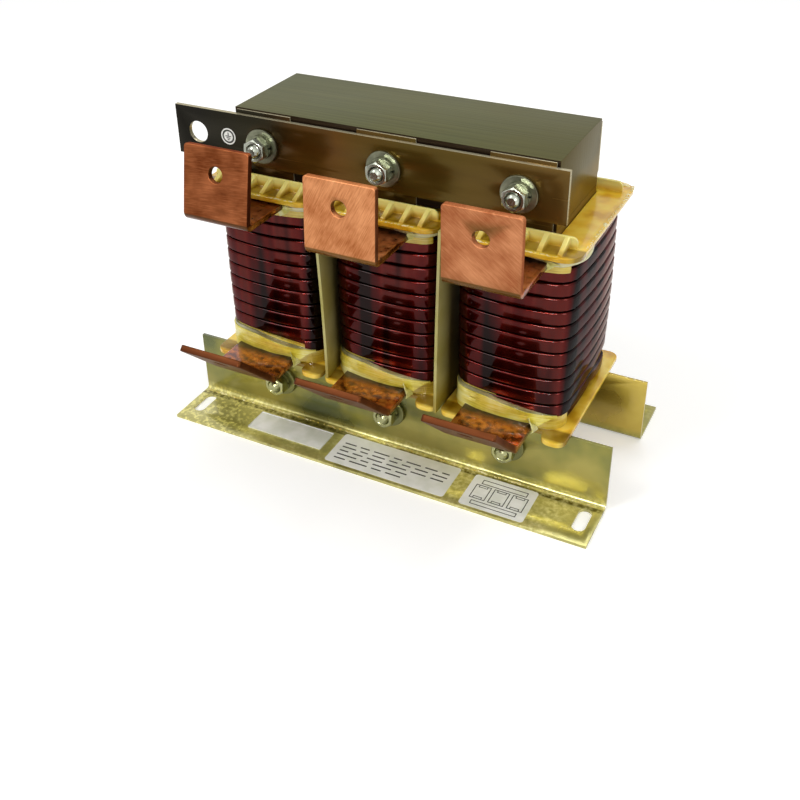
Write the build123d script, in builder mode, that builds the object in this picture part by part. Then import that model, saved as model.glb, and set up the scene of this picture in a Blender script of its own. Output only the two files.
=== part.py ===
# Three-phase line reactor: a gapped laminated core with three flat-wire windings.
# Millimetres, +Z up, Z = 0 under the feet. X runs along the yokes, and the terminals face -Y.
# The origin is the middle of the whole footprint, so the core stands a little behind it.

import os
from math import cos, radians, sin

from build123d import *

os.makedirs("parts", exist_ok=True)

# Core: two yokes and three limbs, each limb in two packets with an air gap between them
limb_pitch = 120.0
limb_width = 60.0
yoke_height = 60.0
stack_depth = 103.0
window_height = 187.0
air_gap = 3.0
core_lift = 10.6
core_clearance = 0.5

# Clamping strips, bars and brackets
tie_plate_width = 55.0
tie_plate_thickness = 2.0
tie_plate_inset = 1.2
bar_thickness = 4.0
bar_height = 46.0
bar_drop = 4.5
bar_left_overhang = 61.9
bar_right_overhang = 9.6
rear_bar_inset = 1.0
earth_hole_diameter = 20.0
earth_hole_from_end = 23.1
bracket_thickness = 3.0
bracket_overhang = 64.1
bracket_height = 67.4
bracket_bend = 6.0
foot_depth = 58.2
slot_width = 12.0
slot_length = 30.0
slot_from_end = 13.6
slot_from_upright = 28.0

# Clamping bolts with their nuts, washers and insulating sleeves
bolt_diameter = 12.0
bolt_head_width = 19.0
bolt_head_height = 7.5
bolt_end_reach = 3.0
bolt_end_chamfer = 1.2
thread_clearance = 0.15
clearance_hole = 13.0
sleeve_wall = 1.0
sleeve_clearance = 0.2
flat_washer_diameter = 32.0
flat_washer_thickness = 3.0
lock_washer_diameter = 22.0
lock_washer_thickness = 2.5
lock_washer_split = 1.6
washer_clearance = 0.3
nut_width = 19.0
nut_height = 10.0
nut_turn = 30.0

# Coil formers and moulded end frames
former_wall = 2.5
former_round = 2.5
end_frame_thickness = 4.4
end_frame_spacing = 3.2
end_frame_depth = 162.0
end_frame_round = 15.0
end_frame_gap = 6.6
lip_thickness = 2.6
lip_height = 9.5
lip_end_inset = 7.4
lip_round = 5.0
lip_clearance = 5.1
rib_thickness = 4.2
rib_pitch = 17.0
rib_count = 6
rib_toe_height = 1.6
rib_toe_inset = 2.5
edge_notch_width = 6.0
edge_notch_depth = 6.0
edge_notch_x = 34.0
terminal_gap_width = 72.0
terminal_gap_depth = 13.0
tongue_flat = 4.4

# Windings: flat wire whose outline bulges on all four sides
winding_clearance = 0.3
coil_spacing = 13.0
coil_side_bow = 4.0
coil_face_bow = 8.0
coil_build = 5.5
coil_round = 18.0
turn_pitch = 13.2
turn_edge = 1.3
left_start_x = 37.0
covered_start_x = -18.0
end_turn_x = 44.0
lower_band_height = 12.4

# End insulation: a filler against the end turns, and the glass tape wound over it
filler_inset = 1.2
tape_growth = 1.5
tape_clearance = 0.3
tape_overlap = 3.0
tape_fall_x = -18.0
tape_fall_end_height = 2.5
upper_tape_reach = 47.0

# Copper terminals: flat bar, bent once, with a hole in the free leg
terminal_width = 65.0
terminal_thickness = 6.0
terminal_bend = 8.0
terminal_round = 3.0
terminal_hole_diameter = 14.0
terminal_hole_from_end = 23.0
terminal_root_gap = 3.5
upper_terminal_reach = 74.5
upper_terminal_leg = 69.0
upper_left_shift = -4.6
upper_left_drop = 1.4
upper_left_angle = 101.0
upper_middle_shift = -3.0
upper_middle_drop = 6.6
upper_middle_angle = 93.0
upper_right_shift = -1.0
upper_right_drop = 5.6
upper_right_angle = 89.0
lower_terminal_shift = -6.0
lower_terminal_reach = 50.5
lower_terminal_leg = 70.0
lower_terminal_angle = 43.0

# Insulating sheets between the coils
barrier_thickness = 2.6
barrier_depth = 158.0
barrier_headroom = 6.0

limb_x = {"left": -limb_pitch, "middle": 0.0, "right": limb_pitch}
yoke_length = 2 * limb_pitch + limb_width
bar_length = yoke_length + bar_left_overhang + bar_right_overhang
bar_left_end = -yoke_length / 2 - bar_left_overhang
bracket_length = yoke_length + 2 * bracket_overhang
tie_face = stack_depth / 2 + tie_plate_thickness
bar_face = tie_face + bar_thickness
bracket_face = tie_face + bracket_thickness

lower_yoke_top = core_lift + yoke_height
upper_yoke_bottom = lower_yoke_top + window_height
core_top = upper_yoke_bottom + yoke_height
bar_top = core_top - bar_drop
lower_bolt_z = core_lift + yoke_height / 2
upper_bolt_z = upper_yoke_bottom + yoke_height / 2
packet_height = (window_height - air_gap) / 2
sleeve_radius = bolt_diameter / 2 + sleeve_clearance + sleeve_wall
core_hole_radius = sleeve_radius + sleeve_clearance

lower_frame_top = lower_yoke_top + end_frame_thickness
upper_frame_top = upper_yoke_bottom - end_frame_gap
upper_frame_bottom = upper_frame_top - end_frame_thickness
end_frame_width = limb_pitch - end_frame_spacing
lip_length = end_frame_width - 2 * lip_end_inset
lip_from_middle = tie_face + lip_clearance
tongue_width = (end_frame_width - terminal_gap_width) / 2

window_x = limb_width + 2 * core_clearance
window_y = 2 * (tie_face + core_clearance)
former_x = window_x + 2 * former_wall
former_y = window_y + 2 * former_wall

# Whole turns between the part turns at both ends, as many as the height between the frames holds
start_turn_z = lower_frame_top + lower_band_height
full_turns = int((upper_frame_bottom - start_turn_z) / turn_pitch) - 2
first_turn_z = start_turn_z + turn_pitch
end_turn_z = first_turn_z + full_turns * turn_pitch
coil_side_bulge = (limb_pitch - coil_spacing) / 2
coil_corner_x = coil_side_bulge - coil_side_bow
coil_corner_y = former_y / 2 + coil_build
coil_face_bulge = coil_corner_y + coil_face_bow

# Where each wire starts; the tape's edge leaves the start bare on the left coil alone
start_turn_x = {"left": left_start_x, "middle": covered_start_x, "right": covered_start_x}

terminal_root = former_y / 2 + terminal_root_gap
upper_terminal_front = bar_face + upper_terminal_reach
lower_terminal_front = bar_face + lower_terminal_reach

# How far each upper terminal stands aside and below its end frame, and the angle of its bend
upper_seats = {
    "left": (upper_left_shift, upper_left_drop, upper_left_angle),
    "middle": (upper_middle_shift, upper_middle_drop, upper_middle_angle),
    "right": (upper_right_shift, upper_right_drop, upper_right_angle),
}

# The lower terminals' tips are the foremost points, and the rear foot's edge the rearmost
front_reach = lower_terminal_front + lower_terminal_leg * cos(radians(lower_terminal_angle))
rear_reach = tie_face + foot_depth
core_y = (front_reach - rear_reach) / 2


# Horizontal plane at height z, centred on the stack
def level(z, x=0.0, y=0.0):
    return Plane(origin=(x, core_y + y, z), x_dir=(1, 0, 0), z_dir=(0, 0, 1))


# Plane that faces the front, with y measured from the middle of the stack; sketched in X and Z
def upright(y, x=0.0, z=0.0):
    return Plane(origin=(x, core_y + y, z), x_dir=(1, 0, 0), z_dir=(0, -1, 0))


# Plane that faces +X; sketched in Y, measured from the middle of the stack, and Z
def crosswise(x):
    return Plane(origin=(x, core_y, 0), x_dir=(0, 1, 0), z_dir=(1, 0, 0))


def save(piece, name):
    piece.part.label = name
    export_step(piece.part, f"parts/{name}.step")


# A piece modelled on the middle limb, moved to one limb or copied to all three
def save_on_limb(piece, name, phase):
    with BuildPart() as copy:
        with Locations((limb_x[phase], 0, 0)):
            add(piece.part)
    save(copy, f"{name}_{phase}")


def save_on_limbs(piece, name):
    for phase in limb_x:
        save_on_limb(piece, name, phase)


# Core


def yoke(z):
    with BuildPart() as block:
        with BuildSketch(level(z)):
            Rectangle(yoke_length, stack_depth)
        extrude(amount=yoke_height)
        with BuildSketch(upright(-stack_depth / 2, z=z + yoke_height / 2)):
            with GridLocations(limb_pitch, 0, 3, 1):
                Circle(core_hole_radius)
        extrude(amount=-stack_depth, mode=Mode.SUBTRACT)
    return block


def limb_block(z, height):
    with BuildPart() as block:
        with BuildSketch(level(z)):
            Rectangle(limb_width, stack_depth)
        extrude(amount=height)
    return block


gap_z = lower_yoke_top + packet_height
save(yoke(core_lift), "bottom_yoke")
save(yoke(upper_yoke_bottom), "top_yoke")
save_on_limbs(limb_block(lower_yoke_top, packet_height), "lower_limb_packet")
save_on_limbs(limb_block(gap_z, air_gap), "air_gap_spacer")
save_on_limbs(limb_block(gap_z + air_gap, packet_height), "upper_limb_packet")


# Clamping strips, bars and brackets


# A strip along one limb that ties both yokes together; y is its front face
def tie_plate(y):
    bottom = core_lift + tie_plate_inset
    top = core_top - tie_plate_inset
    with BuildPart() as strip:
        with BuildSketch(upright(y)):
            with Locations((0, (bottom + top) / 2)):
                Rectangle(tie_plate_width, top - bottom)
            with Locations((0, lower_bolt_z), (0, upper_bolt_z)):
                Circle(core_hole_radius, mode=Mode.SUBTRACT)
        extrude(amount=-tie_plate_thickness)
    return strip


save_on_limbs(tie_plate(-tie_face), "front_tie_plate")
save_on_limbs(tie_plate(stack_depth / 2), "rear_tie_plate")

# The front bar runs on past the core at the left, where its end has the earthing hole
with BuildPart() as upper_front_clamp_bar:
    with BuildSketch(upright(-bar_face)):
        with Locations((bar_left_end + bar_length / 2, bar_top - bar_height / 2)):
            Rectangle(bar_length, bar_height)
        with Locations((0, upper_bolt_z)):
            with GridLocations(limb_pitch, 0, 3, 1):
                Circle(clearance_hole / 2, mode=Mode.SUBTRACT)
        with Locations((bar_left_end + earth_hole_from_end, bar_top - bar_height / 2)):
            Circle(earth_hole_diameter / 2, mode=Mode.SUBTRACT)
    extrude(amount=-bar_thickness)
save(upper_front_clamp_bar, "upper_front_clamp_bar")

with BuildPart() as upper_rear_clamp_bar:
    with BuildSketch(upright(tie_face)):
        with Locations((0, bar_top - bar_height / 2)):
            Rectangle(yoke_length - 2 * rear_bar_inset, bar_height)
        with Locations((0, upper_bolt_z)):
            with GridLocations(limb_pitch, 0, 3, 1):
                Circle(clearance_hole / 2, mode=Mode.SUBTRACT)
    extrude(amount=-bar_thickness)
save(upper_rear_clamp_bar, "upper_rear_clamp_bar")

# The lower brackets are folded sheet: an upright against the core and a slotted foot
with BuildPart() as lower_front_bracket:
    with BuildSketch(crosswise(-bracket_length / 2)):
        with BuildLine():
            FilletPolyline(
                (-rear_reach, 0),
                (-tie_face, 0),
                (-tie_face, bracket_height),
                radius=bracket_bend,
            )
            offset(amount=bracket_thickness, side=Side.LEFT)
        make_face()
    extrude(amount=bracket_length)
    with BuildSketch(upright(-bracket_face, z=lower_bolt_z)):
        with GridLocations(limb_pitch, 0, 3, 1):
            Circle(clearance_hole / 2)
    extrude(amount=-bracket_thickness, mode=Mode.SUBTRACT)
    with BuildSketch(level(0, y=-tie_face - slot_from_upright)):
        with GridLocations(bracket_length - 2 * slot_from_end, 0, 2, 1):
            SlotOverall(slot_length, slot_width, rotation=90)
    extrude(amount=bracket_thickness, mode=Mode.SUBTRACT)
save(lower_front_bracket, "lower_front_bracket")

with BuildPart() as lower_rear_bracket:
    mirror(lower_front_bracket.part, about=upright(0))
save(lower_rear_bracket, "lower_rear_bracket")


# Clamping hardware; the nuts are in front, and the bolts' heads behind

bolt_rows = ((bar_face, upper_bolt_z), (bracket_face, lower_bolt_z))
lock_washer_seat = flat_washer_thickness + lock_washer_thickness
thread_reach = lock_washer_seat + nut_height + bolt_end_reach

with BuildPart() as clamp_bolts:
    for face, z in bolt_rows:
        head_seat = upright(face + flat_washer_thickness, z=z)
        with BuildSketch(head_seat):
            with GridLocations(limb_pitch, 0, 3, 1):
                RegularPolygon(bolt_head_width / 2, 6, major_radius=False)
        extrude(amount=-bolt_head_height)
        with BuildSketch(head_seat):
            with GridLocations(limb_pitch, 0, 3, 1):
                Circle(bolt_diameter / 2)
        extrude(amount=flat_washer_thickness + 2 * face + thread_reach)
        round_edges = clamp_bolts.edges(Select.LAST).filter_by(GeomType.CIRCLE)
        chamfer(round_edges.group_by(Axis.Y)[0], length=bolt_end_chamfer)
save(clamp_bolts, "clamp_bolts")

with BuildPart() as bolt_sleeves:
    for face, z in bolt_rows:
        with BuildSketch(upright(-tie_face, z=z)):
            with GridLocations(limb_pitch, 0, 3, 1):
                Circle(sleeve_radius)
                Circle(bolt_diameter / 2 + sleeve_clearance, mode=Mode.SUBTRACT)
        extrude(amount=-2 * tie_face)
save(bolt_sleeves, "bolt_sleeves")

with BuildPart() as flat_washers:
    for face, z in bolt_rows:
        for seat in (-face, face + flat_washer_thickness):
            with BuildSketch(upright(seat, z=z)):
                with GridLocations(limb_pitch, 0, 3, 1):
                    Circle(flat_washer_diameter / 2)
                    Circle(bolt_diameter / 2 + washer_clearance, mode=Mode.SUBTRACT)
            extrude(amount=flat_washer_thickness)
save(flat_washers, "flat_washers")

with BuildPart() as lock_washers:
    for face, z in bolt_rows:
        with BuildSketch(upright(-face - flat_washer_thickness, z=z)):
            with GridLocations(limb_pitch, 0, 3, 1):
                Circle(lock_washer_diameter / 2)
                Circle(bolt_diameter / 2 + washer_clearance, mode=Mode.SUBTRACT)
            with Locations((lock_washer_diameter / 2, 0)):
                with GridLocations(limb_pitch, 0, 3, 1):
                    Rectangle(lock_washer_diameter, lock_washer_split, mode=Mode.SUBTRACT)
        extrude(amount=lock_washer_thickness)
save(lock_washers, "lock_washers")

with BuildPart() as clamp_nuts:
    for face, z in bolt_rows:
        with BuildSketch(upright(-face - lock_washer_seat, z=z)):
            with GridLocations(limb_pitch, 0, 3, 1):
                RegularPolygon(nut_width / 2, 6, major_radius=False, rotation=nut_turn)
                Circle(bolt_diameter / 2 + thread_clearance, mode=Mode.SUBTRACT)
        extrude(amount=nut_height)
save(clamp_nuts, "clamp_nuts")


# Coil formers and end frames

with BuildPart() as coil_former:
    with BuildSketch(level(lower_frame_top)):
        RectangleRounded(former_x, former_y, former_round)
        Rectangle(window_x, window_y, mode=Mode.SUBTRACT)
    extrude(amount=upper_frame_bottom - lower_frame_top)
save_on_limbs(coil_former, "coil_former")

# The lower frame has a round-ended tongue on each side of the gap for the terminal
with BuildPart() as lower_end_frame:
    with BuildSketch(level(lower_yoke_top)) as plan:
        Rectangle(end_frame_width, end_frame_depth)
        with GridLocations(0, end_frame_depth, 1, 2):
            Rectangle(terminal_gap_width, 2 * terminal_gap_depth, mode=Mode.SUBTRACT)
        rows = plan.vertices().group_by(Axis.Y)
        fillet(rows[0] + rows[-1], radius=(tongue_width - tongue_flat) / 2)
        Rectangle(window_x, window_y, mode=Mode.SUBTRACT)
    extrude(amount=end_frame_thickness)
save_on_limbs(lower_end_frame, "lower_end_frame")

# An upright lip stands along the yoke's face, braced by ribs that slope to the frame's edge
with BuildPart() as braced_lip:
    with BuildSketch(upright(-lip_from_middle, z=upper_frame_top)) as lip_face:
        with Locations((0, lip_height / 2)):
            Rectangle(lip_length, lip_height)
        fillet(lip_face.vertices().group_by(Axis.Y)[-1], radius=lip_round)
    extrude(amount=lip_thickness)
    rib_root = -lip_from_middle - lip_thickness
    rib_toe = rib_toe_inset - end_frame_depth / 2
    for number in range(rib_count):
        rib_x = rib_pitch * (number - (rib_count - 1) / 2) - rib_thickness / 2
        with BuildSketch(crosswise(rib_x)):
            with BuildLine():
                Polyline(
                    (rib_root, upper_frame_top),
                    (rib_toe, upper_frame_top),
                    (rib_toe, upper_frame_top + rib_toe_height),
                    (rib_root, upper_frame_top + lip_height),
                    close=True,
                )
            make_face()
        extrude(amount=rib_thickness)

with BuildPart() as upper_end_frame:
    with BuildSketch(level(upper_frame_bottom)):
        RectangleRounded(end_frame_width, end_frame_depth, end_frame_round)
        Rectangle(window_x, window_y, mode=Mode.SUBTRACT)
        with Locations((edge_notch_x, end_frame_depth / 2)):
            SlotOverall(2 * edge_notch_depth, edge_notch_width, rotation=90, mode=Mode.SUBTRACT)
    extrude(amount=end_frame_thickness)
    add(braced_lip.part)
    mirror(braced_lip.part, about=upright(0))
save_on_limbs(upper_end_frame, "upper_end_frame")


# Windings


# The outline of one turn, or of what lies inside or outside it by the given growth
def coil_outline(growth=0.0):
    corner_x = coil_corner_x + growth
    corner_y = coil_corner_y + growth
    side = coil_side_bulge + growth
    face = coil_face_bulge + growth
    with BuildSketch() as outline:
        with BuildLine():
            ThreePointArc((-corner_x, -corner_y), (0, -face), (corner_x, -corner_y))
            ThreePointArc((corner_x, -corner_y), (side, 0), (corner_x, corner_y))
            ThreePointArc((corner_x, corner_y), (0, face), (-corner_x, corner_y))
            ThreePointArc((-corner_x, corner_y), (-side, 0), (-corner_x, -corner_y))
        make_face()
        fillet(outline.vertices(), radius=coil_round + growth)
    return outline.sketch


def coil_bore(mode):
    return RectangleRounded(
        former_x + 2 * winding_clearance,
        former_y + 2 * winding_clearance,
        former_round + winding_clearance,
        mode=mode,
    )


# One turn of the flat wire, with its edges broken so that the turns show
with BuildPart() as turn:
    with BuildSketch(level(0)):
        add(coil_outline())
    extrude(amount=turn_pitch)
    rims = turn.edges().group_by(Axis.Z)
    chamfer(rims[0] + rims[-1], length=turn_edge)
    with BuildSketch(level(0)):
        coil_bore(Mode.ADD)
    extrude(amount=turn_pitch, mode=Mode.SUBTRACT)

# What one turn leaves to the right of x, where the wire starts or ends
def part_turn(x):
    with BuildPart() as rest:
        add(turn.part)
        split(bisect_by=Plane.YZ.offset(x))
    return rest


# The wire starts below the first full turn and ends above the last
def winding(start_x):
    start_turn = part_turn(start_x)
    end_turn = part_turn(end_turn_x)
    with BuildPart() as coil:
        with Locations((0, 0, start_turn_z)):
            add(start_turn.part)
        for number in range(full_turns):
            with Locations((0, 0, first_turn_z + number * turn_pitch)):
                add(turn.part)
        with Locations((0, 0, end_turn_z)):
            add(end_turn.part)
    return coil


for phase, start_x in start_turn_x.items():
    save_on_limb(winding(start_x), "winding", phase)


# End insulation

# The tape's edge is level up to tape_fall_x, and from there it falls towards the right corner
tape_fall_height = turn_pitch - tape_fall_end_height
tape_fall = Plane(
    origin=(tape_fall_x, core_y, first_turn_z),
    x_dir=(tape_fall_x - coil_corner_x, 0, tape_fall_height),
    z_dir=(tape_fall_height, 0, coil_corner_x - tape_fall_x),
)


# Filler up to the first full turn, with the tape round it and over the start of the wire
def lower_end_insulation(start_x):
    with BuildPart() as insulation:
        with BuildSketch(level(lower_frame_top)):
            add(coil_outline(tape_growth))
        extrude(amount=lower_band_height + turn_pitch)
        split(bisect_by=tape_fall, keep=Keep.BOTTOM)
        with BuildSketch(level(start_turn_z)):
            add(coil_outline(-filler_inset))
        extrude(amount=turn_pitch)
        with BuildSketch(level(start_turn_z)):
            add(coil_outline(tape_clearance))
            with Locations((start_x, 0)):
                Rectangle(
                    end_frame_width,
                    end_frame_depth,
                    align=(Align.MAX, Align.CENTER),
                    mode=Mode.SUBTRACT,
                )
        extrude(amount=turn_pitch, mode=Mode.SUBTRACT)
        with BuildSketch(level(lower_frame_top)):
            coil_bore(Mode.ADD)
        extrude(amount=lower_band_height + turn_pitch, mode=Mode.SUBTRACT)
        with BuildSketch(level(lower_frame_top, x=lower_terminal_shift, y=-terminal_root)):
            Rectangle(terminal_width, end_frame_depth, align=(Align.CENTER, Align.MAX))
        extrude(amount=terminal_thickness, mode=Mode.SUBTRACT)
    return insulation


for phase, start_x in start_turn_x.items():
    save_on_limb(lower_end_insulation(start_x), "lower_end_insulation", phase)

# Filler over the last full turn and the end turn, with a tape flap down over the top turns
def upper_end_insulation(shift, drop):
    filler_top = upper_frame_bottom
    end_turn_top = end_turn_z + turn_pitch
    flap_z = end_turn_z - tape_overlap
    terminal_z = upper_frame_bottom - drop - terminal_thickness
    with BuildPart() as insulation:
        with BuildSketch(level(flap_z)):
            add(coil_outline(tape_growth))
        extrude(amount=filler_top - flap_z)
        split(bisect_by=Plane.YZ.offset(upper_tape_reach), keep=Keep.BOTTOM)
        with BuildSketch(level(end_turn_top)):
            add(coil_outline(-filler_inset))
        extrude(amount=filler_top - end_turn_top)
        with BuildSketch(level(flap_z)):
            add(coil_outline(tape_clearance))
        extrude(amount=tape_overlap, mode=Mode.SUBTRACT)
        with BuildSketch(level(end_turn_z)):
            add(coil_outline(tape_clearance))
            with Locations((end_turn_x, 0)):
                Rectangle(
                    end_frame_width,
                    end_frame_depth,
                    align=(Align.MAX, Align.CENTER),
                    mode=Mode.SUBTRACT,
                )
        extrude(amount=turn_pitch, mode=Mode.SUBTRACT)
        with BuildSketch(level(flap_z)):
            coil_bore(Mode.ADD)
        extrude(amount=filler_top - flap_z, mode=Mode.SUBTRACT)
        with BuildSketch(level(terminal_z, x=shift, y=-terminal_root)):
            Rectangle(terminal_width, end_frame_depth, align=(Align.CENTER, Align.MAX))
        extrude(amount=terminal_thickness, mode=Mode.SUBTRACT)
    return insulation


for phase, (shift, drop, angle) in upper_seats.items():
    save_on_limb(upper_end_insulation(shift, drop), "upper_end_insulation", phase)


# Terminals


# Flat bar with its underside at z, which turns up by the given angle at its bend
def terminal(x, z, front, leg, angle):
    run = cos(radians(angle))
    rise = sin(radians(angle))
    tip_y = -front - leg * run
    tip_z = z + leg * rise
    with BuildPart() as bar:
        with BuildSketch(crosswise(x - terminal_width / 2)):
            with BuildLine():
                FilletPolyline(
                    (-terminal_root, z),
                    (-front, z),
                    (tip_y, tip_z),
                    radius=terminal_bend,
                )
                offset(amount=terminal_thickness, side=Side.RIGHT)
            make_face()
        extrude(amount=terminal_width)
        hole_y = tip_y + terminal_hole_from_end * run
        hole_z = tip_z - terminal_hole_from_end * rise
        hole_plane = Plane(
            origin=(x, core_y + hole_y, hole_z),
            x_dir=(1, 0, 0),
            z_dir=(0, -rise, -run),
        )
        with BuildSketch(hole_plane):
            Circle(terminal_hole_diameter / 2)
        extrude(amount=-terminal_thickness, mode=Mode.SUBTRACT)
        through = Axis(origin=(0, 0, 0), direction=(0, -rise, -run))
        fillet(bar.edges().filter_by(through), radius=terminal_round)
    return bar


for phase, (shift, drop, angle) in upper_seats.items():
    upper_terminal = terminal(
        limb_x[phase] + shift,
        upper_frame_bottom - drop - terminal_thickness,
        upper_terminal_front,
        upper_terminal_leg,
        angle,
    )
    save(upper_terminal, f"upper_terminal_{phase}")

for phase, x in limb_x.items():
    lower_terminal = terminal(
        x + lower_terminal_shift,
        lower_frame_top,
        lower_terminal_front,
        lower_terminal_leg,
        lower_terminal_angle,
    )
    save(lower_terminal, f"lower_terminal_{phase}")


# Phase barriers, upright on the bottom yoke midway between the limbs

for side, x in (("left", -limb_pitch / 2), ("right", limb_pitch / 2)):
    with BuildPart() as phase_barrier:
        with BuildSketch(level(lower_yoke_top, x)):
            Rectangle(barrier_thickness, barrier_depth)
        extrude(amount=window_height - barrier_headroom)
    save(phase_barrier, f"phase_barrier_{side}")
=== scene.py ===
# Three-phase line reactor: the looks of every surface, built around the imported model.
import functools
import math
import random

import bpy
from mathutils import Matrix, Vector, noise


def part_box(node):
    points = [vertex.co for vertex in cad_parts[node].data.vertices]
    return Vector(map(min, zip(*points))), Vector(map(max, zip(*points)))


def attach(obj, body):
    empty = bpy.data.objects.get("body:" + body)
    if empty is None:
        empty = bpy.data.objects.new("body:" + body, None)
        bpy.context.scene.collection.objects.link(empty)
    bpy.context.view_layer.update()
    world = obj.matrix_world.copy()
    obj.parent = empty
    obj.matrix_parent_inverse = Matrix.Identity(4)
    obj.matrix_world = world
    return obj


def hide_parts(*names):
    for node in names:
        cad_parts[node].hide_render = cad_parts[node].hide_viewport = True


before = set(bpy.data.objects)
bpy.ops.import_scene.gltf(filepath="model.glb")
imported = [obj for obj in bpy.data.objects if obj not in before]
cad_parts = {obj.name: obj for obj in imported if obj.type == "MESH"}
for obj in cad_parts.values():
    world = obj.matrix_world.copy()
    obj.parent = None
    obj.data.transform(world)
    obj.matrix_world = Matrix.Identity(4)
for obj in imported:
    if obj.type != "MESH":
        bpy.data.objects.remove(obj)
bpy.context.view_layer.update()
random.seed(7)
mm = 0.001
phases = ("left", "middle", "right")
print("frame loaded")


# Small helpers

def hexColour(code):
    channels = [int(code[i:i + 2], 16) / 255 for i in (0, 2, 4)]
    linear = [c / 12.92 if c <= 0.04045 else ((c + 0.055) / 1.055) ** 2.4 for c in channels]
    return (*linear, 1.0)


# Sets a node's sockets; a value that is itself a socket is linked
def setSockets(tree, made, values):
    for name, value in values.items():
        if isinstance(value, bpy.types.NodeSocket):
            tree.links.new(value, made.inputs[name])
        else:
            made.inputs[name].default_value = value


# Adds one node and gives one of its outputs; "stops" fills a colour ramp with (position, hex) pairs
def addNode(tree, kind, inputs=(), stops=(), output=0, **settings):
    made = tree.nodes.new("ShaderNode" + kind)
    for name, value in settings.items():
        setattr(made, name, value)
    setSockets(tree, made, dict(inputs))
    for number, (position, code) in enumerate(stops):
        ramp = made.color_ramp.elements
        stop = ramp[number] if number < len(ramp) else ramp.new(position)
        stop.position = position
        stop.color = hexColour(code)
    return made.outputs[output]


# A new material, addNode for its own nodes, and its object's coordinates
def startMaterial(name):
    material = bpy.data.materials.new(name)
    material.use_nodes = True
    add = functools.partial(addNode, material.node_tree)
    return material, add, add("TexCoord", output="Object")


# Sets the shader's sockets and gives the finished material back
def dressed(material, values):
    tree = material.node_tree
    setSockets(tree, tree.nodes["Principled BSDF"], values)
    return material


# What makes a Mix node mix colours
colourMix = {"output": 2, "data_type": "RGBA"}


# How much a face looks along one axis of the object, from 0 to 1
def facing(add, axis, low=0.6, high=0.9):
    normal = add("TexCoord", output="Normal")
    part = add("SeparateXYZ", {"Vector": normal}, output=axis)
    return add("MapRange", {"Value": part, "From Min": low, "From Max": high})


def selectOnly(*pieces):
    bpy.ops.object.select_all(action="DESELECT")
    for piece in pieces:
        piece.select_set(True)
    bpy.context.view_layer.objects.active = pieces[0]


def newPiece(name, mesh):
    piece = bpy.data.objects.new(name, mesh)
    bpy.context.scene.collection.objects.link(piece)
    selectOnly(piece)
    return piece


def smoothStep(value, low, high):
    share = min(max((value - low) / (high - low), 0), 1)
    return share * share * (3 - 2 * share)


def addBox(low, high):
    bpy.ops.object.select_all(action="DESELECT")
    bpy.ops.mesh.primitive_cube_add(size=1, location=(low + high) / 2, scale=high - low)
    bpy.ops.object.transform_apply(location=True, rotation=True, scale=True)
    return bpy.context.active_object


# A flat strip with rounded edges, to be laid along a line
def stripCurve(name, halfWidth, rounding, resolution):
    curve = bpy.data.curves.new(name, "CURVE")
    curve.dimensions = "3D"
    curve.extrude = halfWidth
    curve.bevel_depth = rounding
    curve.bevel_resolution = resolution
    curve.use_fill_caps = True
    return curve


def meshFromCurve(curve):
    newPiece(curve.name, curve)
    bpy.ops.object.convert(target="MESH")
    return bpy.context.view_layer.objects.active


# A finished piece: placed in its mesh, named, with its material, on the body
def finishPiece(piece, name, material, nodes=(), smoothAngle=35):
    selectOnly(piece)
    bpy.ops.object.transform_apply(location=True, rotation=True, scale=True)
    bpy.ops.object.shade_smooth_by_angle(angle=math.radians(smoothAngle))
    piece.name = name
    piece.data.name = name
    piece.data.materials.clear()
    piece.data.materials.append(material)
    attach(piece, "root")
    if nodes:
        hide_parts(*nodes)
    return piece


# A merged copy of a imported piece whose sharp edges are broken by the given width
def brokenEdges(nodeName, material, width, segments=2):
    piece = newPiece(nodeName + "_finished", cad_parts[nodeName].data.copy())
    bpy.ops.object.mode_set(mode="EDIT")
    bpy.ops.mesh.select_all(action="SELECT")
    bpy.ops.mesh.remove_doubles(threshold=0.005 * mm)
    bpy.ops.mesh.dissolve_limited(angle_limit=math.radians(0.5))
    bpy.ops.object.mode_set(mode="OBJECT")
    bevel = piece.modifiers.new("edges", "BEVEL")
    bevel.width = width
    bevel.segments = segments
    bevel.limit_method = "ANGLE"
    bevel.angle_limit = math.radians(32)
    bpy.ops.object.modifier_apply(modifier=bevel.name)
    return finishPiece(piece, nodeName + "_finished", material, [nodeName])


def joinPieces(pieces):
    selectOnly(*pieces)
    bpy.ops.object.join()
    return bpy.context.view_layer.objects.active


def copiesAt(piece, places):
    copies = [piece]
    for place in places[1:]:
        copy = piece.copy()
        copy.data = piece.data.copy()
        bpy.context.scene.collection.objects.link(copy)
        copy.location = place
        copies.append(copy)
    piece.location = places[0]
    return copies


def paint(nodeName, material):
    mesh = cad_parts[nodeName].data
    mesh.materials.clear()
    mesh.materials.append(material)


# Places read from the frame

yokeLow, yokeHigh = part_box("top_yoke")
barLow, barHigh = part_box("upper_front_clamp_bar")
footLow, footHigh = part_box("lower_front_bracket")
rearLow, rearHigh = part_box("lower_rear_bracket")
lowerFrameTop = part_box("coil_former_left")[0].z
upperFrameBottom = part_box("coil_former_left")[1].z
stackY = (yokeLow.y + yokeHigh.y) / 2
limbX = {}
for phase in phases:
    low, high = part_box("lower_limb_packet_" + phase)
    limbX[phase] = (low.x + high.x) / 2


# Materials

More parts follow.
